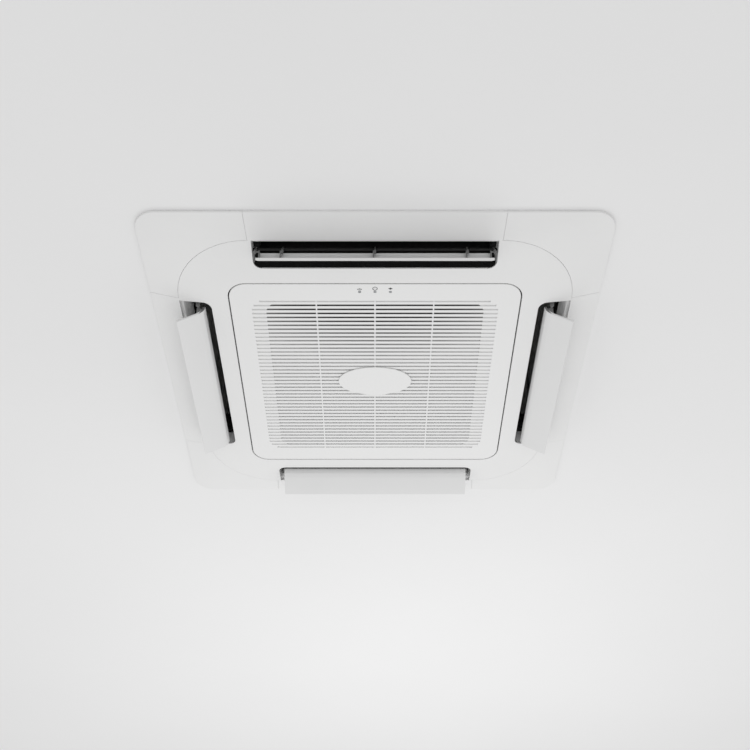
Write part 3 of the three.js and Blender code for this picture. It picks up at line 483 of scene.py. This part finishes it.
def pad(bm, points):
    """A printed shape: a closed outline (mm), half sunk in the grille's face and half proud."""
    low = [bm.verts.new((x * MM, y * MM, FACE - MARK_RELIEF)) for x, y in points]
    high = [bm.verts.new((x * MM, y * MM, FACE + MARK_RELIEF)) for x, y in points]
    count = len(points)
    bm.faces.new(low[::-1])
    bm.faces.new(high)
    for i in range(count):
        j = (i + 1) % count
        bm.faces.new((low[i], low[j], high[j], high[i]))


def arc_band(bm, centre, radius, width, start, end):
    """A band along an arc, in degrees."""
    rim = []
    for r, order in ((radius + width / 2, range(ARC_STEPS + 1)),
                     (radius - width / 2, range(ARC_STEPS, -1, -1))):
        for i in order:
            angle = math.radians(start + (end - start) * i / ARC_STEPS)
            rim.append((centre[0] + r * math.cos(angle), centre[1] + r * math.sin(angle)))
    pad(bm, rim)


def strip(bm, a, b, width):
    run = Vector((b[0] - a[0], b[1] - a[1]))
    side = Vector((-run.y, run.x)).normalized() * width / 2
    pad(bm, [(a[0] + side.x, a[1] + side.y), (a[0] - side.x, a[1] - side.y),
             (b[0] - side.x, b[1] - side.y), (b[0] + side.x, b[1] + side.y)])


def marks():
    """Three plain symbols: an arc round three rays, an open ring with a stem, a barred dot."""
    bm = bmesh.new()
    x, y = -MARK_PITCH, MARK_ROW - 1
    arc_band(bm, (x, y), 5.0, MARK_LINE, 20, 160)
    for angle in (35, 90, 145):
        c, s = math.cos(math.radians(angle)), math.sin(math.radians(angle))
        strip(bm, (x + 0.6 * c, y + 0.6 * s), (x + 2.9 * c, y + 2.9 * s), MARK_LINE * 0.7)
    x, y = 0, MARK_ROW
    arc_band(bm, (x, y), 4.6, MARK_LINE, -60, 240)
    strip(bm, (x, y - 6.0), (x, y - 1.2), MARK_LINE)
    x = MARK_PITCH
    strip(bm, (x - 4.4, y), (x + 4.4, y), MARK_LINE)
    arc_band(bm, (x, y), 1.4, 2.7, 0, 358)
    piece = new_object("function_marks", bm, ICON)
    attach(piece, "grille")


marks()

# ---------------------------------------------------------------- trim on the casing's sides

CASING_HALF = 420.0
SEAT = 0.2  # how far these sink into the casing's wall
SEAM_REACH = 262.0
SEAM_HEIGHTS = ((3.0, 14.0), (226.0, 238.0))
SEAM_PROUD = 1.3
BEAD_HEIGHTS = (80.0, 160.0)
BEADS = {"near": ((-215, 215),), "far": ((-215, 215),), "right": ((-190, 215),),
         "left": ((-215, -80), (80, 215))}
BEAD_PROUD = 2.2
BEAD_HALF = 6
BEAD_STEPS = 8
SCREW_PLACES = (-240, -120, 0, 120, 240)
SCREW_HEAD = ((4.0, -SEAT), (4.0, 0.9), (3.3, 1.7), (1.8, 2.0), (1.4, 1.2))
SCREW_STEPS = 16


def side_point(side, out, along, z):
    """The point (m) this far out from the centre and along one side, in mm."""
    x, y = SIDES[side]
    return Vector((out * x - along * y, out * y + along * x, z)) * MM


def tube(bm, rings):
    """A closed form through rings of as many points each."""
    rings = [[bm.verts.new(point) for point in ring] for ring in rings]
    for a, b in zip(rings, rings[1:]):
        for i in range(len(a)):
            j = (i + 1) % len(a)
            bm.faces.new((a[i], a[j], b[j], b[i]))
    bm.faces.new(rings[0][::-1])
    bm.faces.new(rings[-1])


def side_bar(bm, side, section, start, end):
    """A bar of this (out, z) section along the casing's wall."""
    tube(bm, [[side_point(side, CASING_HALF + out, along, z) for out, z in section]
              for along in (start, end)])


def seam_section(low, high):
    return [(-SEAT, low), (SEAM_PROUD - 0.4, low), (SEAM_PROUD, low + 0.5),
            (SEAM_PROUD, high - 0.5), (SEAM_PROUD - 0.4, high), (-SEAT, high)]


def bead_section(middle):
    turns = [math.pi * i / BEAD_STEPS for i in range(BEAD_STEPS + 1)]
    return [(BEAD_PROUD * math.sin(a) - SEAT, middle - BEAD_HALF * math.cos(a)) for a in turns]


def screw(bm, side, along, z):
    turns = [math.tau * i / SCREW_STEPS for i in range(SCREW_STEPS)]
    tube(bm, [[side_point(side, CASING_HALF + SEAM_PROUD + out,
                          along + r * math.cos(a), z + r * math.sin(a)) for a in turns]
              for r, out in SCREW_HEAD])


def casing_trim():
    """Folded seams along the straight sides, pressed beads, and the screws of the seams."""
    seams, screws = bmesh.new(), bmesh.new()
    for side in SIDES:
        for low, high in SEAM_HEIGHTS:
            side_bar(seams, side, seam_section(low, high), -SEAM_REACH, SEAM_REACH)
            for along in SCREW_PLACES:
                screw(screws, side, along, (low + high) / 2)
        for middle in BEAD_HEIGHTS:
            for start, end in BEADS[side]:
                side_bar(seams, side, bead_section(middle), start, end)
    for name, bm, finish, slot in (("casing_seams", seams, SHEET, "galvanised"),
                                   ("casing_screws", screws, STEEL, "motor_steel")):
        bmesh.ops.recalc_face_normals(bm, faces=bm.faces)
        piece = new_object(name, bm, finish)
        shade_smooth(piece.data)
        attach(piece, "body")


casing_trim()

# ---------------------------------------------------------------- ceiling, light and camera

CEILING_LOW = (-4.0, -2.6)
CEILING_HIGH = (4.0, 6.0)
CEILING_UNDER = 0.4 * MM
CEILING_THICKNESS = 12 * MM
OPENING_HALF = 0.445


def ceiling():
    """The painted ceiling that the panel lies against, open where the casing passes through."""
    (left, near), (right, far), hole = CEILING_LOW, CEILING_HIGH, OPENING_HALF
    bm = bmesh.new()
    for x0, y0, x1, y1 in ((left, near, right, -hole), (left, hole, right, far),
                           (left, -hole, -hole, hole), (hole, -hole, right, hole)):
        for v in bmesh.ops.create_cube(bm, size=1.0)["verts"]:
            v.co = Vector((x0 + (x1 - x0) * (v.co.x + 0.5), y0 + (y1 - y0) * (v.co.y + 0.5),
                           CEILING_UNDER + CEILING_THICKNESS * (v.co.z + 0.5)))
    n = Nodes("ceiling_paint")
    n.paint(n.noise(1.2, 3.0), colour(0.790), colour(0.805))
    n.gloss(n.noise(20.0), 0.80, 0.90)
    n.relief((n.noise(350.0, 3.0), 0.15, 0.25))
    new_object("ceiling", bm, n.material)


ceiling()

world = bpy.data.worlds.new("studio")
scene.world = world
world.use_nodes = True
background = world.node_tree.nodes["Background"]
background.inputs["Color"].default_value = colour(1.0)
background.inputs["Strength"].default_value = 0.86


def square_lamp(name, place, target, size, power):
    light = bpy.data.lights.new(name, "AREA")
    light.shape = "SQUARE"
    light.size = size
    light.energy = power
    obj = bpy.data.objects.new(name, light)
    obj.location = place
    obj.rotation_euler = (Vector(target) - Vector(place)).to_track_quat("-Z", "Y").to_euler()
    scene.collection.objects.link(obj)


square_lamp("key", place=(0.15, 1.5, -1.6), target=(0.1, 1.2, 0), size=1.3, power=7.0)

CAMERA_RISE = 40.96  # degrees that the camera looks up from the level

camera_data = bpy.data.cameras.new("camera")
camera_data.lens = 46.83
camera_data.sensor_width = 36.0
camera_data.clip_end = 50.0
camera = bpy.data.objects.new("camera", camera_data)
camera.location = (0.0, -1.7015, -1.490)
camera.rotation_euler = (math.radians(90 + CAMERA_RISE), 0.0, 0.0)
scene.collection.objects.link(camera)
scene.camera = camera
scene.view_settings.view_transform = "Standard"
